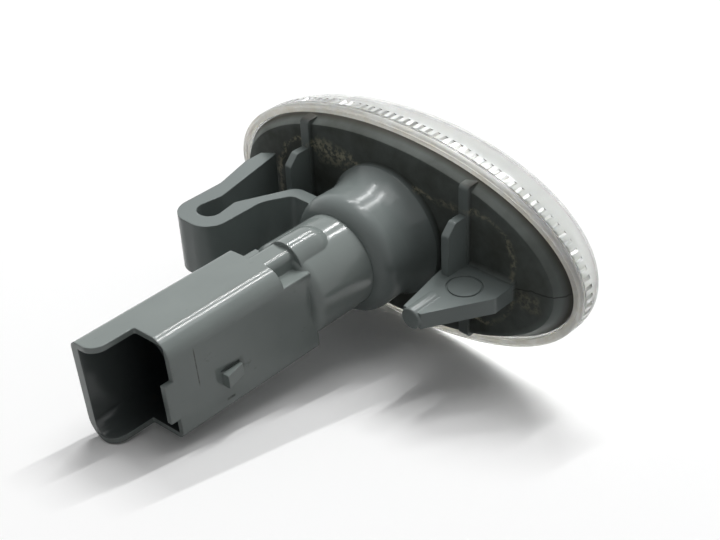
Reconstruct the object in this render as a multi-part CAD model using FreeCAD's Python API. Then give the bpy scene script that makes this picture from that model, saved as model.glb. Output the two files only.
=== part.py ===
"""Oval side indicator lamp for a car wing: clear lens, moulded housing with a spring clip, bulb holder with plug.

Frame, in millimetres: X runs along the oval, +Z is up, the lens looks along -Y and the plug socket opens along +Y.
The origin is the centre of the oval, in the plane of the lens rim that closes on the wing panel.
"""
import FreeCAD, Part
import math
import os

V = FreeCAD.Vector

# Lens
lens_half_length = 43.7        # half the oval's long axis
lens_half_height = 21.75       # half the oval's short axis
rim_end_width = 1.7            # rear rim at the oval's ends, from the outer wall to the housing's recess
rim_side_width = 1.7           # rear rim at the top and bottom
rim_corner = 0.45              # rounding of the rim's rear outer edge
recess_depth = 2.6             # depth of the recess that the housing drops into
seat_width = 1.2               # shoulder in the recess that the housing is welded to
wall_height = 3.1              # straight outer wall, from the rim to where the dome starts
dome_height = 16.6             # rise of the dome in front of the straight wall
dome_wall = 2.5                # wall of the dome at its middle
groove_offset = 1.1            # fine groove behind the flutes, measured from the rim
groove_width = 0.3
groove_depth = 0.35
rim_line_offset = 0.6          # fine line on the rim's rear face, measured from the outer wall
rim_line_width = 0.2
rim_line_depth = 0.2
flute_pitch = 1.8              # spacing of the light-breaking flutes round the wall
flute_width = 0.9
flute_depth = 0.3
flute_start = 1.45             # where the flutes start, measured from the rim
flute_length = 1.9
flute_overcut = 0.1            # how far the cutters stand out of the wall

# Housing plate
weld_gap = 0.4                 # gap all round between the housing's edge and the lens recess
edge_sink = 0.7                # how far the housing's edge lies below the lens rim
plateau_rise = 2.05            # height of the flat back above the lens rim
bevel_length_wise = 2.4        # width of the sloping border at the oval's ends
bevel_height_wise = 1.25       # width of the sloping border at the top and bottom
plate_wall = 2.0

# Neck of the housing
neck_radius = 12.0
neck_end = 16.5                # where the bulb holder's flange seats
neck_mouth_land = 9.4          # outer radius of the flat end of the neck
neck_round_start = 12.4        # where the rounded shoulder starts
foot_radius = 13.6
foot_top = 3.6
foot_blend = 5.5               # length of the hollow curve from the foot to the neck
neck_core_radius = 9.8         # moulded hollow inside the neck
seal_bore_radius = 8.4
seal_bore_length = 3.3
ledge_radius = 7.2             # bayonet ledge that the holder's lugs lock behind
ledge_thickness = 1.8
notch_angle = 42.0             # entry notches in the ledge, in degrees

# Guide fins and rest pads
fin_spacing = 40.1             # between the two faces that look the same way
fin_centre = -0.1
fin_thickness = 1.65
fin_front = 8.15               # how far the fins stand out behind the rim
fin_half_height = 10.9
fin_nose_depth = 2.1           # lead-in chamfer, measured along Y
fin_nose_drop = 2.2            # lead-in chamfer, measured along Z
pad_width = 2.2
pad_height = 0.9
pad_reach = 16.9               # height of the pads' rounded upper ends
pad_reach_low = 16.4           # the same for their lower ends

# Locating tab
tab_top = 0.4
tab_thickness = 3.3
tab_inner_edge = 17.6          # distance of the tab's inner root from the centre
tab_outer_edge = 30.9
tab_shoulder = 8.0             # where the outer edge starts to taper
tab_tip = 20.0
tab_tip_inner = 19.7
tab_tip_outer = 23.7
tab_root_fillet = 0.7
peg_radius = 2.05              # round lead-in peg along the tab's tip
peg_length = 6.2
peg_proud = 0.6
tab_mark_radius = 3.4          # shallow ring left by the mould's ejector
tab_mark_width = 0.35
tab_mark_depth = 0.25
tab_mark_y = 8.6

# Spring clip
clip_top = 6.3
clip_bottom = -5.6
clip_tip = 31.8                # furthest reach of the clip's bend
clip_outer = 29.8              # outer side of the free arm near the bend
clip_barb = 32.3               # outer side of the free arm at its widest point
clip_barb_y = 9.0
clip_catch_y = 4.7             # end of the free arm, outer corner
clip_catch_slope = 2.0         # how much nearer the plate the inner corner of that end is
clip_arm = 3.3                 # thickness of the free arm near the bend
clip_catch_arm = 2.6           # thickness of the free arm at its end
clip_inner = 18.3              # neck side of the bend
clip_waist = 21.3              # height of the narrow place under the bend's eye
clip_eye_width = 6.0
clip_eye_round = 2.4
clip_waist_width = 3.7
clip_root_y = 9.8              # lower side of the arm where it leaves the neck
clip_root_arm = 2.8
clip_root_bend = 16.6          # where that arm bends away from the neck

# Bulb holder
connector_roll = 3.9           # turn of the plug socket about Y, in degrees
holder_radius = 9.3
holder_drum_end = 30.7         # end of the round body
drum_end_round = 2.0
spigot_clearance = 0.2
spigot_stem_clearance = 0.2
lug_clearance = 0.15
lug_thickness = 1.6
lug_angle = 34.0
lug_count = 3
stem_end = 9.0
pocket_half_length = 5.0       # slot for the bulb's wedge base
pocket_half_width = 2.3
pocket_depth = 10.2
shell_half_width = 7.1
shell_half_height = 9.8
shell_rear = 36.1
shell_setback = 62.2           # end of the shorter side of the socket
shell_front = 70.8             # end of the longer side of the socket
shell_split = 1.0              # where the longer side starts
shell_wall = 1.1
shell_key_wall = 1.9           # thicker wall on the longer side
shell_floor = 44.0
shell_corner_small = 1.5
shell_corner_large = 4.0
notch_round = 0.4              # inner corner between the two sides
notch_front_round = 2.8        # front corner of the longer side
tongue_length = 1.9
tongue_top = 2.15
tongue_bottom = -5.4
block_top = 6.5                # lower block between the drum and the socket
rib_right = -3.5
rib_left = 2.3
rib_start = 29.0
boss_radius = 4.4              # rounded boss on the drum
boss_centre_x = -1.0
boss_centre_z = 6.3
boss_start = 24.3
latch_y = 48.2
latch_length = 4.2
latch_z = -4.3
latch_height = 2.5
latch_proud = 1.8              # height of the nub at its steep end, towards the mouth
latch_rear_proud = 0.8
latch_relief = 0.45            # groove along the nub's upper side

# Seal ring
seal_section = 1.4
seal_clearance = 0.03
seal_groove_play = 0.1
seal_offset = 1.0              # distance of the groove from the flange

# Bulb
bulb_radius = 5.0
bulb_length = 26.8
bulb_wedge_length = 9.6
bulb_wedge_width = 9.4
bulb_wedge_thickness = 2.2
bulb_shoulder = 1.6
bulb_seat_clearance = 0.05     # between the bulb's shoulder and the end of the holder's stem

# Terminals
terminal_width = 2.8
terminal_thickness = 0.8
terminal_clearance = 0.05
terminal_contact_length = 8.0
terminal_bend_start = 24.0
terminal_bend_end = 30.0
blade_offset = 2.9             # half the spacing of the blades
blade_tip = 56.0
blade_taper = 0.25
blade_taper_length = 1.5


def oval(half_length, half_height, y):
    """Elliptical wire in a plane across Y."""
    curve = Part.Ellipse(V(half_length, y, 0), V(0, y, half_height), V(0, y, 0))
    return Part.Wire([curve.toShape()])


def oval_prism(half_length, half_height, y_from, y_to):
    """Elliptical prism along Y."""
    face = Part.Face(oval(half_length, half_height, y_from))
    return face.extrude(V(0, y_to - y_from, 0))


def oval_dome(half_length, half_height, y_rear, y_wall, rise):
    """Oval with a straight wall from y_rear to y_wall and a dome that rises along -Y in front of it."""
    round_radius = half_height
    arc = Part.Ellipse(V(round_radius, y_wall, 0), V(0, y_wall - rise, 0), V(0, y_wall, 0))
    if rise > round_radius:
        arc = Part.Ellipse(V(0, y_wall - rise, 0), V(-round_radius, y_wall, 0), V(0, y_wall, 0))
    crown = Part.ArcOfEllipse(arc, 0, math.pi / 2).toShape()
    edges = [
        Part.makeLine(V(0, y_rear, 0), V(round_radius, y_rear, 0)),
        Part.makeLine(V(round_radius, y_rear, 0), V(round_radius, y_wall, 0)),
        crown,
        Part.makeLine(V(0, y_wall - rise, 0), V(0, y_rear, 0)),
    ]
    stretch = FreeCAD.Matrix()
    stretch.scale(half_length / half_height, 1, 1)
    return revolve_y(Part.Wire(edges)).transformGeometry(stretch)


def cylinder_y(radius, y_from, y_to, x=0.0, z=0.0):
    """Cylinder along Y."""
    return Part.makeCylinder(radius, y_to - y_from, V(x, y_from, z), V(0, 1, 0))


def block(x_from, x_to, y_from, y_to, z_from, z_to):
    """Box between two corners."""
    return Part.makeBox(x_to - x_from, y_to - y_from, z_to - z_from, V(x_from, y_from, z_from))


def rounded_wire(corners):
    """Closed wire through (point, radius) corners, with a tangent arc at each corner that has a radius."""
    count = len(corners)
    starts = []
    ends = []
    arcs = []
    for i, (point, radius) in enumerate(corners):
        before = (corners[i - 1][0] - point).normalize()
        after = (corners[(i + 1) % count][0] - point).normalize()
        if radius <= 0:
            starts.append(point)
            ends.append(point)
            arcs.append(None)
            continue
        half = before.getAngle(after) / 2
        reach = radius / math.tan(half)
        middle = (before + after).normalize()
        centre = point + middle * (radius / math.sin(half))
        starts.append(point + before * reach)
        ends.append(point + after * reach)
        arcs.append(Part.Arc(starts[-1], centre - middle * radius, ends[-1]).toShape())
    edges = []
    for i in range(count):
        if arcs[i] is not None:
            edges.append(arcs[i])
        following = starts[(i + 1) % count]
        if ends[i].distanceToPoint(following) > 1e-6:
            edges.append(Part.makeLine(ends[i], following))
    return Part.Wire(edges)


def revolve_y(outline):
    """Turns an (X, Y) outline about the Y axis."""
    return Part.Face(outline).revolve(V(0, 0, 0), V(0, 1, 0), 360)


def sector_y(radius, y_from, y_to, centre_angle, width):
    """Pie-shaped prism about Y, used for bayonet lugs and notches."""
    pie = Part.makeCylinder(radius, y_to - y_from, V(0, y_from, 0), V(0, 1, 0), width)
    start = Part.Vertex(pie.CenterOfMass)
    angle = math.degrees(math.atan2(start.Z, start.X))
    pie.rotate(V(0, 0, 0), V(0, 1, 0), angle - centre_angle)
    return pie


def make_lens():
    """Clear cover: oval dome on a straight fluted wall, with a recess and a welding shoulder behind."""
    outer = oval_dome(lens_half_length, lens_half_height, 0, -wall_height, dome_height)
    rear_edges = [e for e in outer.Edges if abs(e.CenterOfMass.y) < 0.01 and e.BoundBox.YLength < 0.01]
    outer = outer.makeFillet(rim_corner, rear_edges)
    recess = oval_prism(recess_half_length, recess_half_height, -recess_depth, 1)
    inner_length = recess_half_length - seat_width
    inner_height = recess_half_height - seat_width
    hollow = oval_dome(inner_length, inner_height, 0, -wall_height, dome_height - dome_wall)
    ring = oval_prism(lens_half_length + 1, lens_half_height + 1, -groove_offset - groove_width, -groove_offset)
    ring = ring.cut(oval_prism(lens_half_length - groove_depth, lens_half_height - groove_depth, -wall_height, 0))
    line_outer = rim_line_offset
    line_inner = rim_line_offset + rim_line_width
    line = oval_prism(lens_half_length - line_outer, lens_half_height - line_outer, -rim_line_depth, 1)
    line = line.cut(oval_prism(lens_half_length - line_inner, lens_half_height - line_inner, -rim_line_depth, 1))
    return outer.cut([recess, hollow, ring, line] + make_flutes())


def make_flutes():
    """V-shaped cutters for the flutes, spaced evenly along the oval's circumference."""
    half_mouth = flute_width / 2 * (1 + flute_overcut / flute_depth)
    wedge = [
        V(-half_mouth, -flute_start, -flute_overcut),
        V(0, -flute_start, flute_depth),
        V(half_mouth, -flute_start, -flute_overcut),
        V(-half_mouth, -flute_start, -flute_overcut),
    ]
    curve = oval(lens_half_length, lens_half_height, 0).Edges[0]
    count = round(curve.Length / flute_pitch)
    cutters = []
    for i in range(count):
        at = curve.getParameterByLength(curve.Length * i / count)
        point = curve.valueAt(at)
        along = curve.tangentAt(at)
        cutter = Part.Face(Part.makePolygon(wedge)).extrude(V(0, -flute_length, 0))
        cutter.rotate(V(0, 0, 0), V(0, 1, 0), -math.degrees(math.atan2(along.z, along.x)))
        cutters.append(cutter.translated(point))
    return cutters


def make_fin(x_from):
    """Guide fin across X with a lead-in chamfer at each end and a low rest pad beyond each end."""
    sign_ends = []
    for sign in (1, -1):
        sign_ends.append(V(x_from, fin_front, sign * (fin_half_height - fin_nose_drop)))
        sign_ends.append(V(x_from, fin_front - fin_nose_depth, sign * fin_half_height))
    corners = [
        (V(x_from, 0, fin_half_height), 0),
        (sign_ends[1], fin_thickness / 2),
        (sign_ends[0], fin_thickness / 2),
        (sign_ends[2], fin_thickness / 2),
        (sign_ends[3], fin_thickness / 2),
        (V(x_from, 0, -fin_half_height), 0),
    ]
    fin = Part.Face(rounded_wire(corners)).extrude(V(fin_thickness, 0, 0))
    pad_from = x_from + fin_thickness / 2 - pad_width / 2
    pad_top = plateau_rise + pad_height
    pad_corners = [
        (V(pad_from, 0, pad_reach), 0),
        (V(pad_from, pad_top, pad_reach), pad_height),
        (V(pad_from, pad_top, -pad_reach_low), pad_height),
        (V(pad_from, 0, -pad_reach_low), 0),
    ]
    pad = Part.Face(rounded_wire(pad_corners)).extrude(V(pad_width, 0, 0))
    return fin.fuse(pad)


def make_tab():
    """Locating tab that hooks behind the panel, with a round lead-in peg along its tip."""
    top = tab_top
    corners = [
        (V(-tab_inner_edge, 0, top), 0),
        (V(-tab_inner_edge, fin_front, top), 0),
        (V(-tab_tip_inner, tab_tip, top), 0),
        (V(-tab_tip_outer, tab_tip, top), 0),
        (V(-tab_outer_edge, tab_shoulder, top), 1.2),
        (V(-tab_outer_edge, 0, top), 0),
    ]
    plate = Part.Face(rounded_wire(corners)).extrude(V(0, 0, -tab_thickness))
    middle = top - tab_thickness / 2
    peg_x = -(tab_tip_inner + tab_tip_outer) / 2
    peg = cylinder_y(peg_radius, tab_tip - peg_length, tab_tip + peg_proud, peg_x, middle)
    peg = peg.makeFillet(0.3, [e for e in peg.Edges if e.CenterOfMass.y > tab_tip])
    root = plateau_rise + tab_root_fillet
    fillet = [
        (V(-tab_inner_edge, 0, top + tab_root_fillet), 0),
        (V(-tab_inner_edge, plateau_rise, top + tab_root_fillet), 0),
        (V(-tab_inner_edge, root, top), 0),
        (V(-tab_inner_edge, root, top - tab_thickness), 0),
        (V(-tab_inner_edge, plateau_rise, top - tab_thickness - tab_root_fillet), 0),
        (V(-tab_inner_edge, 0, top - tab_thickness - tab_root_fillet), 0),
    ]
    gusset = Part.Face(rounded_wire(fillet)).extrude(V(tab_inner_edge - tab_outer_edge, 0, 0))
    tab = plate.fuse([peg, gusset])
    mark_x = -(tab_inner_edge + tab_outer_edge) / 2
    mark = Part.makeCylinder(tab_mark_radius, tab_mark_depth, V(mark_x, tab_mark_y, top - tab_mark_depth))
    core = Part.makeCylinder(tab_mark_radius - tab_mark_width, tab_mark_depth,
                             V(mark_x, tab_mark_y, top - tab_mark_depth))
    return tab.cut(mark.cut(core))


def make_clip():
    """U-shaped spring clip: one arm grows out of the neck, the other ends free above the plate."""
    z = clip_top
    waist_x = (clip_outer - clip_arm + clip_inner + clip_arm) / 2
    eye_left = waist_x + clip_eye_width / 2
    eye_right = waist_x - clip_eye_width / 2
    neck_left = waist_x + clip_waist_width / 2
    neck_right = waist_x - clip_waist_width / 2
    eye_tip = clip_tip - clip_arm
    root_top = clip_root_y + clip_root_arm
    corners = [
        (V(clip_barb, clip_catch_y, z), 0.3),
        (V(clip_barb, clip_barb_y, z), 3.0),
        (V(clip_outer, clip_waist - clip_arm, z), 4.0),
        (V(clip_outer, clip_tip, z), 4.6),
        (V(clip_inner, clip_tip, z), 4.6),
        (V(clip_inner, clip_waist - clip_arm, z), 6.0),
        (V(clip_root_bend - clip_root_arm / 2, root_top, z), 2.0),
        (V(neck_core_radius / 2, root_top, z), 0),
        (V(neck_core_radius / 2, clip_root_y, z), 0),
        (V(clip_root_bend, clip_root_y, z), 2.6),
        (V(neck_right, clip_waist, z), 1.2),
        (V(eye_right, eye_tip, z), clip_eye_round),
        (V(eye_left, eye_tip, z), clip_eye_round),
        (V(neck_left, clip_waist, z), 1.2),
        (V(clip_barb - clip_catch_arm, clip_catch_y - clip_catch_slope, z), 0.3),
    ]
    return Part.Face(rounded_wire(corners)).extrude(V(0, 0, clip_bottom - clip_top))


def make_neck():
    """Solid neck: flared foot, hollow blend, straight barrel and rounded shoulder."""
    foot = V(foot_radius, foot_top, 0)
    barrel = V(neck_radius, foot_top + foot_blend, 0)
    flare = foot_radius - neck_radius
    blend_radius = (flare ** 2 + foot_blend ** 2) / (2 * flare)
    half_turn = math.asin(foot_blend / blend_radius) / 2
    blend_middle = V(neck_radius + blend_radius * (1 - math.cos(half_turn)),
                     foot_top + foot_blend - blend_radius * math.sin(half_turn), 0)
    shoulder = V(neck_radius, neck_round_start, 0)
    land = V(neck_mouth_land, neck_end, 0)
    swing = math.radians(45)
    shoulder_middle = V(neck_mouth_land + (neck_radius - neck_mouth_land) * math.cos(swing),
                        neck_round_start + (neck_end - neck_round_start) * math.sin(swing), 0)
    edges = [
        Part.makeLine(V(0, 0, 0), V(foot_radius, 0, 0)),
        Part.makeLine(V(foot_radius, 0, 0), foot),
        Part.Arc(foot, blend_middle, barrel).toShape(),
        Part.makeLine(barrel, shoulder),
        Part.Arc(shoulder, shoulder_middle, land).toShape(),
        Part.makeLine(land, V(0, neck_end, 0)),
        Part.makeLine(V(0, neck_end, 0), V(0, 0, 0)),
    ]
    return revolve_y(Part.Wire(edges))


def make_neck_bore():
    """Hollow of the neck: moulded core, bayonet ledge with entry notches, and the bore that the seal runs in."""
    ledge_top = neck_end - seal_bore_length
    ledge_bottom = ledge_top - ledge_thickness
    core = cylinder_y(neck_core_radius, -1, ledge_bottom)
    throat = cylinder_y(ledge_radius, 0, neck_end)
    seal = cylinder_y(seal_bore_radius, ledge_top, neck_end + 1)
    notches = []
    for i in range(lug_count):
        angle = notch_phase + i * 360 / lug_count
        notches.append(sector_y(seal_bore_radius, ledge_bottom - 1, ledge_top + 1, angle, notch_angle))
    return core.fuse([throat, seal] + notches)


def make_housing():
    """Moulded housing in one piece: bevelled plate, neck, fins, locating tab and spring clip."""
    skirt = oval_prism(plate_half_length, plate_half_height, -recess_depth, -edge_sink)
    bevel = Part.makeLoft([
        oval(plate_half_length, plate_half_height, -edge_sink),
        oval(plateau_half_length, plateau_half_height, plateau_rise),
    ], True, True)
    fin_left = fin_centre + fin_spacing / 2
    fin_right = fin_centre - fin_spacing / 2
    solid = skirt.fuse([bevel, make_neck(), make_fin(fin_left), make_fin(fin_right), make_tab(), make_clip()])
    plate_front = plateau_rise - plate_wall
    hollow = Part.makeLoft([
        oval(plate_half_length - plate_wall, plate_half_height - plate_wall, -recess_depth),
        oval(plateau_half_length - plate_wall, plateau_half_height - plate_wall, plate_front),
    ], True, True)
    return solid.cut([hollow, make_neck_bore()]).removeSplitter()


def socket_outline(y, grow, left_grow):
    """Rounded outline of the plug socket in a plane across Y, grown outwards by the given amounts."""
    right = -shell_half_width - grow
    left = shell_half_width + left_grow
    top = shell_half_height + grow
    bottom = -shell_half_height - grow
    large = shell_corner_large + grow
    small = max(shell_corner_small + grow, 0.4)
    return rounded_wire([
        (V(right, y, top), large),
        (V(left, y, top), small),
        (V(left, y, bottom), large),
        (V(right, y, bottom), small),
    ])


def socket_prism(y_from, y_to, grow=0.0, left_grow=0.0):
    """Prism of the socket's outline along Y."""
    return Part.Face(socket_outline(y_from, grow, left_grow)).extrude(V(0, y_to - y_from, 0))


def make_terminal(clearance):
    """Brass strip: spring contact beside the bulb's wedge, jog, and tapered blade in the socket."""
    near = bulb_wedge_thickness / 2 + terminal_clearance - clearance
    far = near + terminal_thickness + 2 * clearance
    blade_near = blade_offset - terminal_thickness / 2 - clearance
    blade_far = blade_offset + terminal_thickness / 2 + clearance
    start = pocket_floor - terminal_contact_length
    taper_y = blade_tip - blade_taper_length
    half = terminal_width / 2 + clearance
    points = [
        V(-half, start, near),
        V(-half, terminal_bend_start, near),
        V(-half, terminal_bend_end, blade_near),
        V(-half, taper_y, blade_near),
        V(-half, blade_tip, blade_near + blade_taper),
        V(-half, blade_tip, blade_far - blade_taper),
        V(-half, taper_y, blade_far),
        V(-half, terminal_bend_end, blade_far),
        V(-half, terminal_bend_start, far),
        V(-half, start, far),
        V(-half, start, near),
    ]
    return Part.Face(Part.makePolygon(points)).extrude(V(2 * half, 0, 0))


def make_bulb_holder():
    """Bulb holder moulded in one with the plug socket: spigot with lugs, drum, block, rib and stepped shell."""
    spigot_radius = seal_bore_radius - spigot_clearance
    stem_radius = ledge_radius - spigot_stem_clearance
    ledge_top = neck_end - seal_bore_length
    ledge_bottom = ledge_top - ledge_thickness
    lug_top = ledge_bottom - lug_clearance
    drum = cylinder_y(holder_radius, neck_end, holder_drum_end)
    drum = drum.makeFillet(drum_end_round, [e for e in drum.Edges if e.CenterOfMass.y > holder_drum_end - 0.01])
    spigot = cylinder_y(spigot_radius, ledge_top + lug_clearance, neck_end)
    stem = cylinder_y(stem_radius, stem_end, neck_end)
    lugs = []
    for i in range(lug_count):
        angle = notch_phase + (i + 0.5) * 360 / lug_count
        lugs.append(sector_y(spigot_radius, lug_top - lug_thickness, lug_top, angle, lug_angle))
    groove = cylinder_y(spigot_radius + 1, seal_y_from, seal_y_to)
    groove = groove.cut(cylinder_y(seal_floor_radius, seal_y_from, seal_y_to))
    shell = socket_prism(shell_rear, shell_front + 1)
    core = socket_prism(shell_floor, shell_front + 2, -shell_wall, -shell_key_wall)
    low = -2 * shell_half_height
    wide = 2 * shell_half_width
    setback = Part.Face(rounded_wire([
        (V(-wide, shell_setback, low), 0),
        (V(shell_split, shell_setback, low), notch_round),
        (V(shell_split, shell_front, low), notch_front_round),
        (V(wide, shell_front, low), 0),
        (V(wide, shell_front + 2, low), 0),
        (V(-wide, shell_front + 2, low), 0),
    ])).extrude(V(0, 0, -2 * low))
    tongue = block(-shell_half_width, -shell_half_width + shell_wall, shell_setback - 1,
                   shell_setback + tongue_length, tongue_bottom, tongue_top)
    waist = socket_prism(holder_drum_end - 1, shell_rear)
    waist = waist.cut(block(-20, 20, 0, shell_rear, block_top, 20))
    rib = block(rib_right, rib_left, rib_start, shell_rear, 0, shell_half_height)
    rib_edges = [e for e in rib.Edges if e.BoundBox.YLength > 1 and e.CenterOfMass.z > 1]
    rib = rib.makeFillet(shell_corner_small, rib_edges)
    boss = cylinder_y(boss_radius, boss_start, rib_start + 1, boss_centre_x, boss_centre_z)
    boss = boss.fuse(Part.makeSphere(boss_radius, V(boss_centre_x, boss_start, boss_centre_z)))
    latch_points = [
        V(-shell_half_width + 0.2, latch_y, latch_z),
        V(-shell_half_width - latch_rear_proud, latch_y, latch_z),
        V(-shell_half_width - latch_proud, latch_y + latch_length, latch_z),
        V(-shell_half_width + 0.2, latch_y + latch_length, latch_z),
        V(-shell_half_width + 0.2, latch_y, latch_z),
    ]
    latch = Part.Face(Part.makePolygon(latch_points)).extrude(V(0, 0, latch_height))
    latch_top = latch_z + latch_height
    relief = block(-shell_half_width - 1, -shell_half_width + latch_relief, latch_y, latch_y + latch_length,
                   latch_top, latch_top + latch_relief)
    socket = shell.cut([core, setback, relief]).fuse([tongue, latch])
    body = drum.fuse([spigot, stem, waist, rib, boss] + lugs).fuse(socket)
    pocket = block(-pocket_half_length, pocket_half_length, stem_end - 1, pocket_floor,
                   -pocket_half_width, pocket_half_width)
    upper = make_terminal(terminal_clearance)
    lower = upper.rotated(V(0, 0, 0), V(0, 1, 0), 180)
    return body.cut([groove, pocket, upper, lower]).removeSplitter()


def make_bulb():
    """Wedge-base bulb, taken as one solid: flat glass base, shoulder, round envelope and domed tip."""
    neck_y = stem_end - bulb_seat_clearance
    base_end = neck_y + bulb_wedge_length
    tip = base_end - bulb_length
    dome_y = tip + bulb_radius
    inset = bulb_shoulder * (1 - math.sqrt(0.5))
    edges = [
        Part.makeLine(V(0, neck_y, 0), V(bulb_radius - bulb_shoulder, neck_y, 0)),
        Part.Arc(V(bulb_radius - bulb_shoulder, neck_y, 0),
                 V(bulb_radius - inset, neck_y - inset, 0),
                 V(bulb_radius, neck_y - bulb_shoulder, 0)).toShape(),
        Part.makeLine(V(bulb_radius, neck_y - bulb_shoulder, 0), V(bulb_radius, dome_y, 0)),
        Part.Arc(V(bulb_radius, dome_y, 0),
                 V(bulb_radius * math.sqrt(0.5), dome_y - bulb_radius * math.sqrt(0.5), 0),
                 V(0, tip, 0)).toShape(),
        Part.makeLine(V(0, tip, 0), V(0, neck_y, 0)),
    ]
    envelope = revolve_y(Part.Wire(edges))
    wedge = block(-bulb_wedge_width / 2, bulb_wedge_width / 2, neck_y - bulb_shoulder, base_end,
                  -bulb_wedge_thickness / 2, bulb_wedge_thickness / 2)
    return envelope.fuse(wedge).removeSplitter()


def make_seal_ring():
    """Rubber ring in the spigot's groove."""
    ring_radius = seal_floor_radius + seal_clearance + seal_section / 2
    return Part.makeTorus(ring_radius, seal_section / 2, V(0, (seal_y_from + seal_y_to) / 2, 0), V(0, 1, 0))


# Sizes that follow from the ones above
recess_half_length = lens_half_length - rim_end_width
recess_half_height = lens_half_height - rim_side_width
plate_half_length = recess_half_length - weld_gap
plate_half_height = recess_half_height - weld_gap
plateau_half_length = plate_half_length - bevel_length_wise
plateau_half_height = plate_half_height - bevel_height_wise
notch_phase = 90.0
pocket_floor = stem_end + pocket_depth
seal_floor_radius = seal_bore_radius - seal_section - 2 * seal_clearance
seal_y_to = neck_end - seal_offset
seal_y_from = seal_y_to - seal_section - 2 * seal_groove_play

holder_axis = V(0, 1, 0)
terminal = make_terminal(0)
pieces = {
    "lens": make_lens(),
    "housing": make_housing(),
    "bulb_holder": make_bulb_holder().rotated(V(0, 0, 0), holder_axis, connector_roll),
    "seal_ring": make_seal_ring(),
    "bulb": make_bulb().rotated(V(0, 0, 0), holder_axis, connector_roll),
    "terminal_upper": terminal.rotated(V(0, 0, 0), holder_axis, connector_roll),
    "terminal_lower": terminal.rotated(V(0, 0, 0), holder_axis, connector_roll + 180),
}

os.makedirs("parts", exist_ok=True)
for name, shape in pieces.items():
    box = shape.BoundBox
    print(f"{name}: {len(shape.Solids)} solid, valid {shape.isValid()}, volume {shape.Volume:.1f} mm3, "
          f"X {box.XMin:.2f}..{box.XMax:.2f} Y {box.YMin:.2f}..{box.YMax:.2f} Z {box.ZMin:.2f}..{box.ZMax:.2f}")
    shape.exportStep(f"parts/{name}.step")
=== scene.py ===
# %% [markdown]
# Oval side indicator lamp, seen from behind. The solids come from the CAD model, so this lesson dresses them:
# it gives each piece the finish of the real plastic, glass, rubber or brass, lays the lamp on a pale table,
# and lights it as a bright workshop does.

# %% Load the lamp
import math

import bpy
from mathutils import Matrix, Vector

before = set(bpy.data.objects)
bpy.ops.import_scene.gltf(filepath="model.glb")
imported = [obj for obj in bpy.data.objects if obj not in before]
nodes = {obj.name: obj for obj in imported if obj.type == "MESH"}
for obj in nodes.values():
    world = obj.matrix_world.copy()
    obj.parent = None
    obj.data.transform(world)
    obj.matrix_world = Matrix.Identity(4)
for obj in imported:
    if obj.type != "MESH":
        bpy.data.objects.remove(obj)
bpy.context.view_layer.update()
print("pieces:", ", ".join(sorted(nodes)))

# %% [markdown]
# Colours are written as sRGB hex values, as a colour picker shows them, and the shader wants linear light.
# One function turns the first into the second, so every finish below can be read against the real thing.
# A second function adds a shader node: its options by name, its sockets from a table. A value goes straight
# on a socket, and another node's output is linked to it.

# %% Colour and node helpers
def linear(hex_colour):
    """Turns an sRGB hex colour into linear red, green, blue and a full alpha."""
    channels = [int(hex_colour[i:i + 2], 16) / 255 for i in (1, 3, 5)]
    return [c / 12.92 if c <= 0.04045 else ((c + 0.055) / 1.055) ** 2.4 for c in channels] + [1.0]


def add(tree, kind, sockets, **options):
    """Adds one shader node with its options, and sets or links each of its sockets."""
    node = tree.nodes.new("ShaderNode" + kind)
    for option, value in options.items():
        setattr(node, option, value)
    for key, value in sockets.items():
        if isinstance(value, bpy.types.NodeSocket):
            tree.links.new(value, node.inputs[key])
        else:
            node.inputs[key].default_value = value
    return node


def new_finish(name):
    """Starts a material and returns it with its node tree, its shader and the position in millimetres."""
    material = bpy.data.materials.new(name)
    material.use_nodes = True
    tree = material.node_tree
    shader = tree.nodes["Principled BSDF"]
    place = add(tree, "TexCoord", {})
    in_mm = add(tree, "Mapping", {"Vector": place.outputs["Object"], "Scale": (1000, 1000, 1000)})
    return material, tree, shader, in_mm.outputs["Vector"]


def between(tree, value, low, high, soft):
    """1 where a value lies between two limits, with a soft border of the given width outside them."""
    middle = (low + high) / 2
    off = add(tree, "Math", {0: value, 1: middle}, operation="SUBTRACT")
    off = add(tree, "Math", {0: off.outputs[0]}, operation="ABSOLUTE")
    half = (high - low) / 2
    return add(tree, "MapRange", {"Value": off.outputs[0], 1: half, 2: half + soft, 3: 1.0, 4: 0.0}).outputs[0]


def times(tree, *values):
    """Product of several masks."""
    result = values[0]
    for value in values[1:]:
        result = add(tree, "Math", {0: result, 1: value}, operation="MULTIPLY").outputs[0]
    return result


def wear(piece, material):
    """Puts a finish on a CAD piece."""
    piece.data.materials.clear()
    piece.data.materials.append(material)


print("mid grey:", [round(c, 3) for c in linear("#808080")])

# %% [markdown]
# The housing is injection-moulded ABS, grey all through. Moulded ABS has a faint satin grain from the tool and
# reflects softly. The clean parts, the neck, the fins, the tab and the clip, keep that look.
# The flat back has lived behind a wing panel, so a dark film of road dirt covers it, up to the sloping border.
# The film follows the oval of the plate: a distance that is 1 at the plate's edge says where it ends.
# On the sloping border it is thick at the top and thin at the bottom.
# Every pattern below is sized in millimetres: a noise scale of 1 / 7.1 gives smears about 7 mm across.

# %% Dirt film on the flat back
plate_half_length = 41.6
plate_half_height = 19.65


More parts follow.
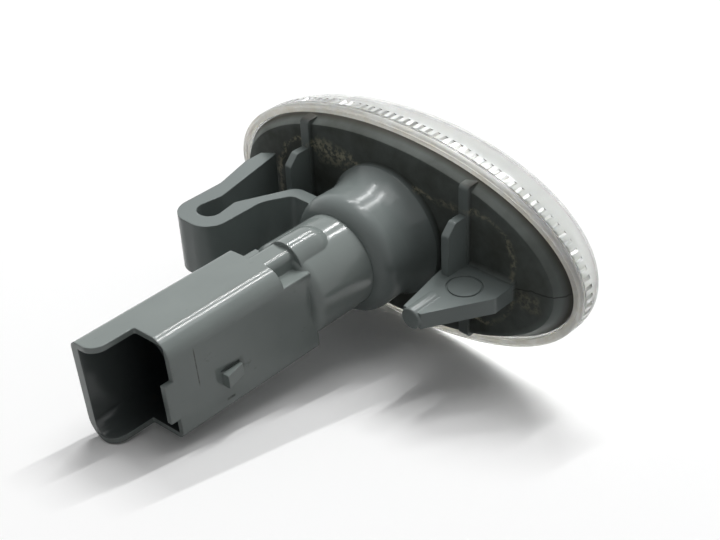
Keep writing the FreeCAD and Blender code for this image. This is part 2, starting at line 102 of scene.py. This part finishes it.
def dirt_film(tree, mm):
    """Dirt on the plate, from 0 to 1, with the height mask and the oval distance that it was made from."""
    parts = add(tree, "SeparateXYZ", {0: mm})
    on_back = add(tree, "MapRange", {"Value": parts.outputs["Y"], 1: 2.2, 2: 3.4, 3: 1.0, 4: 0.0})
    across = add(tree, "VectorMath", {0: mm, 1: (1 / plate_half_length, 0, 1 / plate_half_height)},
                 operation="MULTIPLY")
    oval = add(tree, "VectorMath", {0: across.outputs[0]}, operation="LENGTH")
    border = add(tree, "MapRange", {"Value": parts.outputs["Z"], 1: -10.0, 2: 10.0, 3: 0.35, 4: 0.85})
    inside = add(tree, "MapRange", {"Value": oval.outputs["Value"], 1: 0.9, 2: 0.955,
                                    3: 1.0, 4: border.outputs[0]})
    smear = add(tree, "TexNoise", {"Vector": mm, "Scale": 1 / 7.1, "Detail": 6.0, "Roughness": 0.6})
    amount = add(tree, "MapRange", {"Value": smear.outputs["Fac"], 1: 0.3, 2: 0.7, 3: 0.65, 4: 1.0})
    film = times(tree, on_back.outputs[0], inside.outputs[0], amount.outputs[0])
    return film, on_back.outputs[0], oval.outputs["Value"]


# %% [markdown]
# Where the panel's opening pressed, a trail of sand was left: a rounded rectangle about 60 by 23 mm.
# The distance to such an outline is easy to work out: fold the plane into one corner, take off the straight
# lengths, and compare what is left with the corner's radius of 8 mm. Noise makes the trail wander and breaks
# it into grains. Real grains are about 0.3 mm, too fine to show here, so they are drawn about 1 mm across.
# Beside the clip the sand has drifted wider, and by the tab there is a thin heap. A fine crack runs from the
# tab out to the edge. In the gap by the lens the colour is dark brown, partly dirt and partly painted shade.

# %% Sand and crack on the flat back
opening_corner = 8.0
opening_straight = (21.8, 9.0, 3.3)  # half lengths along X and Z; the middle value takes off the plate's height


def tide_mark(tree, mm, on_back):
    """Sandy crust along the outline of the panel's opening, from 0 to 1."""
    wander = add(tree, "TexNoise", {"Vector": mm, "Scale": 1 / 8.3, "Detail": 3.0})
    sway = add(tree, "VectorMath", {0: wander.outputs["Color"], 1: (5.0, 0.0, 5.0), 2: (-2.5, 0.0, -2.5)},
               operation="MULTIPLY_ADD")
    moved = add(tree, "VectorMath", {0: mm, 1: sway.outputs[0]}, operation="ADD")
    folded = add(tree, "VectorMath", {0: moved.outputs[0]}, operation="ABSOLUTE")
    outside = add(tree, "VectorMath", {0: folded.outputs[0], 1: opening_straight}, operation="SUBTRACT")
    outside = add(tree, "VectorMath", {0: outside.outputs[0], 1: (0, 0, 0)}, operation="MAXIMUM")
    reach = add(tree, "VectorMath", {0: outside.outputs[0]}, operation="LENGTH")
    off = add(tree, "Math", {0: reach.outputs["Value"], 1: opening_corner}, operation="SUBTRACT")
    off = add(tree, "Math", {0: off.outputs[0]}, operation="ABSOLUTE")
    parts = add(tree, "SeparateXYZ", {0: mm})
    x, z = parts.outputs["X"], parts.outputs["Z"]
    drift = times(tree, between(tree, x, 10.5, 18.0, 2.5), between(tree, z, 8.0, 16.0, 1.0))
    half_width = add(tree, "Math", {0: drift, 1: 2.2, 2: 0.75}, operation="MULTIPLY_ADD")
    band = add(tree, "MapRange", {"Value": off.outputs[0], 1: 0.15, 2: half_width.outputs[0],
                                  3: 1.0, 4: 0.0})
    grains = add(tree, "TexNoise", {"Vector": mm, "Scale": 1 / 1.1, "Detail": 5.0, "Roughness": 0.75})
    specks = add(tree, "MapRange", {"Value": grains.outputs["Fac"], 1: 0.45, 2: 0.56, 3: 0.0, 4: 1.0})
    patches = add(tree, "TexNoise", {"Vector": mm, "Scale": 1 / 12.5, "Detail": 2.0})
    where = add(tree, "MapRange", {"Value": patches.outputs["Fac"], 1: 0.35, 2: 0.5, 3: 0.3, 4: 1.0})
    lying = add(tree, "Math", {0: where.outputs[0], 1: drift}, operation="MAXIMUM")
    fainter = add(tree, "MapRange", {"Value": x, 1: -27.0, 2: -22.0, 3: 0.45, 4: 1.0})
    trail = times(tree, band.outputs[0], lying.outputs[0], fainter.outputs[0])
    heap = times(tree, between(tree, x, -35.5, -32.0, 1.5), between(tree, z, -3.6, -1.6, 1.5), 0.3)
    sand = add(tree, "Math", {0: trail, 1: heap}, operation="MAXIMUM")
    return times(tree, sand.outputs[0], specks.outputs[0], on_back)


def crack(tree, mm, on_back):
    """Fine crack from the tab's root out through the border, from 0 to 1."""
    wander = add(tree, "TexNoise", {"Vector": mm, "Scale": 1 / 2.9, "Detail": 3.0})
    sway = add(tree, "Math", {0: wander.outputs["Fac"], 1: 1.4, 2: -0.7}, operation="MULTIPLY_ADD")
    across = add(tree, "VectorMath", {0: mm, 1: (0.195, 0, 1)}, operation="DOT_PRODUCT")
    off = add(tree, "Math", {0: across.outputs["Value"], 1: 6.7}, operation="ADD")
    off = add(tree, "Math", {0: off.outputs[0], 1: sway.outputs[0]}, operation="ADD")
    off = add(tree, "Math", {0: off.outputs[0]}, operation="ABSOLUTE")
    line = add(tree, "MapRange", {"Value": off.outputs[0], 1: 0.05, 2: 0.22, 3: 0.9, 4: 0.0})
    parts = add(tree, "SeparateXYZ", {0: mm})
    beyond = add(tree, "MapRange", {"Value": parts.outputs["X"], 1: -31.2, 2: -30.2, 3: 1.0, 4: 0.0})
    return times(tree, line.outputs[0], beyond.outputs[0], on_back)


# %% [markdown]
# Now the layers are put over the grey plastic, from the film up to the crack. Clean ABS is satin and dirt is
# dull, so the film also raises the roughness. The tool's grain is about 0.1 mm, too fine to show, and is drawn
# coarser. A Bevel node rounds the shading of each edge by 0.3 mm, as a mould does. The solid stays as it is.

# %% Moulded ABS of the housing
def moulded_abs():
    material, tree, shader, mm = new_finish("moulded_abs")
    cloud = add(tree, "TexNoise", {"Vector": mm, "Scale": 1 / 11, "Detail": 4.0})
    plastic = add(tree, "Mix", {0: cloud.outputs["Fac"], 6: linear("#798180"), 7: linear("#858d8b")},
                  data_type="RGBA")
    film, on_back, oval = dirt_film(tree, mm)
    colour = add(tree, "Mix", {0: film, 6: plastic.outputs[2], 7: linear("#3d403a")}, data_type="RGBA")
    # Dark brown in the gap by the lens: partly dirt, partly painted shade of the crevice.
    gap_dirt_and_shade = add(tree, "MapRange", {"Value": oval, 1: 0.965, 2: 0.99, 3: 0.0, 4: 0.9})
    gap_dirt_and_shade = add(tree, "Math", {0: gap_dirt_and_shade.outputs[0], 1: on_back}, operation="MULTIPLY")
    colour = add(tree, "Mix", {0: gap_dirt_and_shade.outputs[0], 6: colour.outputs[2], 7: linear("#2b2822")}, data_type="RGBA")
    sand = tide_mark(tree, mm, on_back)
    colour = add(tree, "Mix", {0: sand, 6: colour.outputs[2], 7: linear("#a8a48e")}, data_type="RGBA")
    split = crack(tree, mm, on_back)
    colour = add(tree, "Mix", {0: split, 6: colour.outputs[2], 7: linear("#1d1d1b")}, data_type="RGBA")
    tree.links.new(colour.outputs[2], shader.inputs["Base Color"])
    grain = add(tree, "TexNoise", {"Vector": mm, "Scale": 1 / 1.7, "Detail": 3.0})
    satin = add(tree, "MapRange", {"Value": grain.outputs["Fac"], 1: 0.3, 2: 0.7, 3: 0.17, 4: 0.25})
    dull = add(tree, "Mix", {0: film, 2: satin.outputs[0], 3: 0.8})
    tree.links.new(dull.outputs[0], shader.inputs["Roughness"])
    rough_sand = add(tree, "Math", {0: sand, 1: grain.outputs["Fac"]}, operation="MULTIPLY_ADD")
    tree.links.new(grain.outputs["Fac"], rough_sand.inputs[2])
    soft_edge = add(tree, "Bevel", {"Radius": 0.0003}, samples=4)
    bump = add(tree, "Bump", {"Strength": 0.06, "Distance": 0.0003, "Height": rough_sand.outputs[0],
                              "Normal": soft_edge.outputs[0]})
    tree.links.new(bump.outputs["Normal"], shader.inputs["Normal"])
    shader.inputs["IOR"].default_value = 1.53
    shader.inputs["Specular IOR Level"].default_value = 0.22
    return material


wear(nodes["housing"], moulded_abs())
print("housing finish:", nodes["housing"].data.materials[0].name)

# %% [markdown]
# The bulb holder is moulded in PBT, a harder plastic that keeps a smoother, glossier skin. Its colour is
# close to the housing's. Handling has left faint dark smudges on its flat sides, and lamps overhead show as
# crisp streaks on its rounded edge. On the right wall are the fine line of the mould's seam, a dark mark
# above the latch nub and a short scuff. The inside of the socket has painted shade: the faces that look
# inwards turn near black, more so deeper in, and the outer corners keep their colour. The socket is rolled
# by 3.9 degrees, and the marks lie in its own axes.

# %% Moulded PBT of the bulb holder
def holder_marks(tree, mm):
    """Painted shade in the socket; on its right wall the mould's seam, a mark above the latch nub, a scuff."""
    rolled = add(tree, "Mapping", {"Vector": mm, "Rotation": (0, math.radians(-3.9), 0)})
    parts = add(tree, "SeparateXYZ", {0: rolled.outputs["Vector"]})
    x, y, z = (parts.outputs[axis] for axis in "XYZ")
    # Painted shade inside the socket: near black on the faces that look inwards, darker deeper in.
    surface = add(tree, "TexCoord", {})
    outward = add(tree, "VectorMath", {0: mm, 1: (1, 0, 1)}, operation="MULTIPLY")
    facing = add(tree, "VectorMath", {0: outward.outputs[0], 1: surface.outputs["Normal"]},
                 operation="DOT_PRODUCT")
    inwards = add(tree, "Math", {0: facing.outputs["Value"], 1: 0.3}, operation="LESS_THAN")
    depth = add(tree, "MapRange", {"Value": y, 1: 58.0, 2: 71.0, 3: 0.96, 4: 0.6})
    socket_painted_shade = times(tree, between(tree, x, -6.05, 5.25, 0.05), between(tree, z, -8.75, 8.75, 0.05),
                   between(tree, y, 43.9, 80.0, 0.05), inwards.outputs[0], depth.outputs[0])
    wall = between(tree, x, -9.5, -7.05, 0.05)
    blot = add(tree, "TexNoise", {"Vector": mm, "Scale": 1 / 1.4, "Detail": 5.0, "Roughness": 0.7})
    patchy = add(tree, "MapRange", {"Value": blot.outputs["Fac"], 1: 0.4, 2: 0.56, 3: 0.5, 4: 1.0})
    seam = times(tree, wall, between(tree, y, 57.07, 57.17, 0.12), between(tree, z, -0.8, 5.2, 1.0),
                 patchy.outputs[0])
    # A dark mark on the wall above the latch nub.
    flush = between(tree, x, -7.25, -7.05, 0.05)
    nub = times(tree, flush, between(tree, y, 48.0, 51.2, 0.9), between(tree, z, -2.9, -1.5, 0.8),
                patchy.outputs[0])
    scuff = times(tree, wall, between(tree, y, 50.5, 51.8, 0.4), between(tree, z, -7.7, -7.45, 0.2),
                  patchy.outputs[0])
    marks = add(tree, "Math", {0: seam, 1: nub}, operation="MAXIMUM")
    marks = add(tree, "Math", {0: marks.outputs[0], 1: scuff}, operation="MAXIMUM")
    return socket_painted_shade, marks.outputs[0]


def moulded_pbt():
    material, tree, shader, mm = new_finish("moulded_pbt")
    cloud = add(tree, "TexNoise", {"Vector": mm, "Scale": 1 / 8.3, "Detail": 4.0})
    plastic = add(tree, "Mix", {0: cloud.outputs["Fac"], 6: linear("#808886"), 7: linear("#8c9491")},
                  data_type="RGBA")
    drawn = add(tree, "Mapping", {"Vector": mm, "Scale": (1.0, 0.35, 0.7)})
    smudge = add(tree, "TexNoise", {"Vector": drawn.outputs["Vector"], "Scale": 1 / 2, "Detail": 6.0,
                                   "Roughness": 0.7})
    marks = add(tree, "MapRange", {"Value": smudge.outputs["Fac"], 1: 0.64, 2: 0.74, 3: 0.0, 4: 0.55})
    colour = add(tree, "Mix", {0: marks.outputs[0], 6: plastic.outputs[2], 7: linear("#565c5a")},
                 data_type="RGBA")
    socket_painted_shade, wall_marks = holder_marks(tree, mm)
    colour = add(tree, "Mix", {0: wall_marks, 6: colour.outputs[2], 7: linear("#3e423f")}, data_type="RGBA")
    # Painted shade inside the socket, near black.
    colour = add(tree, "Mix", {0: socket_painted_shade, 6: colour.outputs[2], 7: linear("#1f2427")}, data_type="RGBA")
    tree.links.new(colour.outputs[2], shader.inputs["Base Color"])
    grain = add(tree, "TexNoise", {"Vector": mm, "Scale": 1 / 2, "Detail": 3.0})
    gloss = add(tree, "MapRange", {"Value": grain.outputs["Fac"], 1: 0.3, 2: 0.7, 3: 0.12, 4: 0.18})
    tree.links.new(gloss.outputs[0], shader.inputs["Roughness"])
    soft_edge = add(tree, "Bevel", {"Radius": 0.0004}, samples=4)
    bump = add(tree, "Bump", {"Strength": 0.03, "Distance": 0.0003, "Height": grain.outputs["Fac"],
                              "Normal": soft_edge.outputs[0]})
    tree.links.new(bump.outputs["Normal"], shader.inputs["Normal"])
    shader.inputs["IOR"].default_value = 1.57
    shader.inputs["Specular IOR Level"].default_value = 0.3
    return material


wear(nodes["bulb_holder"], moulded_pbt())
print("holder finish:", nodes["bulb_holder"].data.materials[0].name)

# %% [markdown]
# The lens is clear acrylic, PMMA. It is bright and glassy, but its rear rim and flutes scatter light, and years
# of road dust have left the rim a dirty beige. Transmission lets the eye through, and what isn't transmitted is
# scattered inside the wall by subsurface, which gives the milky glow of a thick clear moulding. The dust makes
# the rim, which lies at y = 0, duller and less clear. A clear lens lets light by, but the renderer would give
# it a heavy shadow, so the lens casts none.

# %% Clear PMMA of the lens
lens_half_length = 43.7
lens_half_height = 21.75


def clear_pmma():
    material, tree, shader, mm = new_finish("clear_pmma")
    parts = add(tree, "SeparateXYZ", {0: mm})
    near_rim = add(tree, "MapRange", {"Value": parts.outputs["Y"], 1: -1.2, 2: -0.3, 3: 0.0, 4: 1.0})
    across = add(tree, "VectorMath", {0: mm, 1: (1 / lens_half_length, 0, 1 / lens_half_height)},
                 operation="MULTIPLY")
    oval = add(tree, "VectorMath", {0: across.outputs[0]}, operation="LENGTH")
    inner = add(tree, "MapRange", {"Value": oval.outputs["Value"], 1: 0.9, 2: 0.99, 3: 1.0, 4: 0.75})
    speckle = add(tree, "TexNoise", {"Vector": mm, "Scale": 1 / 2.9, "Detail": 6.0, "Roughness": 0.65})
    patchy = add(tree, "MapRange", {"Value": speckle.outputs["Fac"], 1: 0.35, 2: 0.7, 3: 0.35, 4: 1.0})
    dust = times(tree, near_rim.outputs[0], patchy.outputs[0], inner.outputs[0])
    tint = add(tree, "Mix", {0: dust, 6: linear("#e4e6e3"), 7: linear("#c4b9a0")}, data_type="RGBA")
    tree.links.new(tint.outputs[2], shader.inputs["Base Color"])
    clear = add(tree, "MapRange", {"Value": near_rim.outputs[0], 1: 0.0, 2: 1.0, 3: 0.85, 4: 0.4})
    tree.links.new(clear.outputs[0], shader.inputs["Transmission Weight"])
    shader.inputs["Subsurface Weight"].default_value = 1.0
    shader.inputs["Subsurface Radius"].default_value = (1.0, 0.95, 0.85)
    shader.inputs["Subsurface Scale"].default_value = 0.03
    dull = add(tree, "MapRange", {"Value": near_rim.outputs[0], 1: 0.0, 2: 1.0, 3: 0.14, 4: 0.5})
    tree.links.new(dull.outputs[0], shader.inputs["Roughness"])
    shader.inputs["IOR"].default_value = 1.49
    return material


wear(nodes["lens"], clear_pmma())
nodes["lens"].visible_shadow = False
print("lens finish:", nodes["lens"].data.materials[0].name)

# %% [markdown]
# Inside the lamp sit the bulb, the terminals and the seal. The bulb is amber glass, because the lens is clear.
# The terminals are stamped brass, a metal with faint rolling marks about 0.17 mm wide and 3 mm long, and the
# seal is black rubber, soft and dull.

# %% Amber glass, stamped brass and rubber
def amber_glass():
    material, tree, shader, mm = new_finish("amber_glass")
    film = add(tree, "TexNoise", {"Vector": mm, "Scale": 1 / 5, "Detail": 2.0})
    tint = add(tree, "Mix", {0: film.outputs["Fac"], 6: linear("#f0962a"), 7: linear("#e67e14")},
               data_type="RGBA")
    tree.links.new(tint.outputs[2], shader.inputs["Base Color"])
    shader.inputs["Transmission Weight"].default_value = 0.9
    shader.inputs["Roughness"].default_value = 0.05
    shader.inputs["IOR"].default_value = 1.5
    return material


def stamped_brass():
    material, tree, shader, mm = new_finish("stamped_brass")
    rolled = add(tree, "Mapping", {"Vector": mm, "Scale": (6, 0.3, 6)})
    lines = add(tree, "TexNoise", {"Vector": rolled.outputs["Vector"], "Scale": 1.0, "Detail": 3.0})
    tone = add(tree, "Mix", {0: lines.outputs["Fac"], 6: linear("#c9ad6a"), 7: linear("#b8964f")},
               data_type="RGBA")
    tree.links.new(tone.outputs[2], shader.inputs["Base Color"])
    dull = add(tree, "MapRange", {"Value": lines.outputs["Fac"], 1: 0.3, 2: 0.7, 3: 0.25, 4: 0.4})
    tree.links.new(dull.outputs[0], shader.inputs["Roughness"])
    shader.inputs["Metallic"].default_value = 1.0
    return material


def seal_rubber():
    material, tree, shader, mm = new_finish("seal_rubber")
    bloom = add(tree, "TexNoise", {"Vector": mm, "Scale": 1 / 1.25, "Detail": 4.0})
    tone = add(tree, "Mix", {0: bloom.outputs["Fac"], 6: linear("#1a1a1b"), 7: linear("#2b2b2c")},
               data_type="RGBA")
    tree.links.new(tone.outputs[2], shader.inputs["Base Color"])
    shader.inputs["Roughness"].default_value = 0.75
    return material


brass = stamped_brass()
wear(nodes["bulb"], amber_glass())
wear(nodes["terminal_upper"], brass)
wear(nodes["terminal_lower"], brass)
wear(nodes["seal_ring"], seal_rubber())
print("inner finishes:", [nodes[n].data.materials[0].name for n in ("bulb", "terminal_upper", "seal_ring")])

# %% [markdown]
# The lamp lies on a table on two places: the bottom of the lens rim and the lower edge of the plug socket.
# The lamp keeps its own frame, so the table is tilted instead. It is drawn from above only, so that a camera
# below it still sees the lamp. The table is pale, and the soft shadow on it ties the lamp to the ground.
# The lamps reach only the middle of the table, so farther out it glows, to the camera and in reflections, and
# meets the white background without a dark edge. To other rays it is a mid grey, so little light bounces up.

# %% Table
touch_lens = Vector((0, -0.00045, -0.02175))
touch_socket = Vector((0, 0.0708, -0.01004))
slope = math.atan2(touch_socket.z - touch_lens.z, touch_socket.y - touch_lens.y)

bpy.ops.mesh.primitive_plane_add(size=6, location=touch_lens, rotation=(slope, 0, 0))
table = bpy.context.object
table.name = "table"


def reaches_eye(tree):
    """1 for rays from the camera, seen directly, in a reflection or through the lens, and 0 for the rest."""
    path = add(tree, "LightPath", {})
    straight = add(tree, "Math", {0: path.outputs["Is Camera Ray"], 1: path.outputs["Is Transmission Ray"]},
                   operation="MAXIMUM")
    return add(tree, "Math", {0: straight.outputs[0], 1: path.outputs["Is Glossy Ray"]},
               operation="MAXIMUM").outputs[0]


table_paint, tree, shader, mm = new_finish("white_laminate")
cloud = add(tree, "TexNoise", {"Vector": mm, "Scale": 1 / 250, "Detail": 3.0})
pale = add(tree, "Mix", {0: cloud.outputs["Fac"], 6: linear("#fafafa"), 7: linear("#f6f6f6")}, data_type="RGBA")
to_eye = reaches_eye(tree)
tone = add(tree, "Mix", {0: to_eye, 6: linear("#9a9a9a"), 7: pale.outputs[2]}, data_type="RGBA")
tree.links.new(tone.outputs[2], shader.inputs["Base Color"])
shader.inputs["Roughness"].default_value = 0.8
away = add(tree, "VectorMath", {0: mm}, operation="LENGTH")
level = add(tree, "MapRange", {"Value": away.outputs["Value"], 1: 150.0, 2: 1100.0, 3: 0.01, 4: 0.7})
glow = add(tree, "Math", {0: to_eye, 1: level.outputs[0]}, operation="MULTIPLY")
tree.links.new(glow.outputs[0], shader.inputs["Emission Strength"])
shader.inputs["Emission Color"].default_value = linear("#ffffff")
side = add(tree, "NewGeometry", {})
see_through = add(tree, "BsdfTransparent", {})
choice = add(tree, "MixShader", {0: side.outputs["Backfacing"], 1: shader.outputs["BSDF"],
                                 2: see_through.outputs["BSDF"]})
tree.links.new(choice.outputs["Shader"], tree.nodes["Material Output"].inputs["Surface"])
wear(table, table_paint)
print("table tilt:", round(math.degrees(slope), 2), "degrees")

# %% [markdown]
# The camera is where it was for the photo. Its place and its directions were solved from the outline of the
# rim, the neck and the socket, and its focal length, in pixels of a picture 720 wide, from the same fit.

# %% Camera
camera_place = Vector((-0.149195, 0.161408, 0.139507))
camera_right = Vector((-0.730979, -0.681011, -0.043513))
camera_up = Vector((0.358781, -0.437781, 0.824393))
camera_back = Vector((-0.580470, 0.587002, 0.564343))

sensor_width = 36
picture_width = 720
focal_pixels = 1337.37

camera_data = bpy.data.cameras.new("camera")
camera_data.sensor_width = sensor_width
camera_data.lens = sensor_width * focal_pixels / picture_width
camera = bpy.data.objects.new("camera", camera_data)
bpy.context.collection.objects.link(camera)
turn = Matrix((camera_right, camera_up, camera_back)).transposed().to_4x4()
camera.matrix_world = Matrix.Translation(camera_place) @ turn
bpy.context.scene.camera = camera
print("focal length:", round(camera_data.lens, 2), "mm")

# %% [markdown]
# The light is a workshop's: two tubes overhead, beyond the lamp as the camera sees it, which give the fine
# streaks on the socket's rounded edge, a broad soft panel above, and surroundings that are bright overhead and
# dim towards the camera. The back of the lamp, which faces away from the tubes, stays in its own shade.
# To the camera and in reflections the surroundings are plain white, and diffuse surfaces don't get that light.

# %% Light
middle = Vector((0, 0.03, 0))


def ceiling_lamp(name, place, length, width, power):
    """Adds a long lamp over the object, with its long side along Y, that looks at the object's middle."""
    data = bpy.data.lights.new(name, "AREA")
    data.shape = "RECTANGLE"
    data.size = width
    data.size_y = length
    data.energy = power
    lamp = bpy.data.objects.new(name, data)
    bpy.context.collection.objects.link(lamp)
    back = (Vector(place) - middle).normalized()
    across = Vector((0, 1, 0)).cross(back).normalized()
    along = back.cross(across)
    lamp.matrix_world = Matrix.Translation(Vector(place)) @ Matrix((across, along, back)).transposed().to_4x4()
    return lamp


ceiling_lamp("tube_left", (0.5, -0.6, 0.95), 0.6, 0.025, 5.0)
ceiling_lamp("tube_right", (0.12, -0.65, 1.0), 0.6, 0.025, 5.0)
ceiling_lamp("panel", (0.0, -0.3, 1.1), 0.6, 0.6, 3.2)

world = bpy.data.worlds.new("workshop")
bpy.context.scene.world = world
world.use_nodes = True
tree = world.node_tree
bright_side = (0.1, -0.45, 0.89)
place = add(tree, "TexCoord", {})
height = add(tree, "VectorMath", {0: place.outputs["Generated"], 1: bright_side}, operation="DOT_PRODUCT")
level = add(tree, "MapRange", {"Value": height.outputs["Value"], 1: -0.3, 2: 1.0, 3: 0.03, 4: 0.36})
sky = tree.nodes["Background"]
sky.inputs["Color"].default_value = linear("#ffffff")
tree.links.new(level.outputs[0], sky.inputs["Strength"])
seen = add(tree, "Background", {"Color": linear("#fdfdfd"), "Strength": 1.0})
mixed = add(tree, "MixShader", {0: reaches_eye(tree), 1: sky.outputs[0], 2: seen.outputs[0]})
tree.links.new(mixed.outputs[0], tree.nodes["World Output"].inputs["Surface"])
bpy.context.scene.view_settings.view_transform = "Standard"
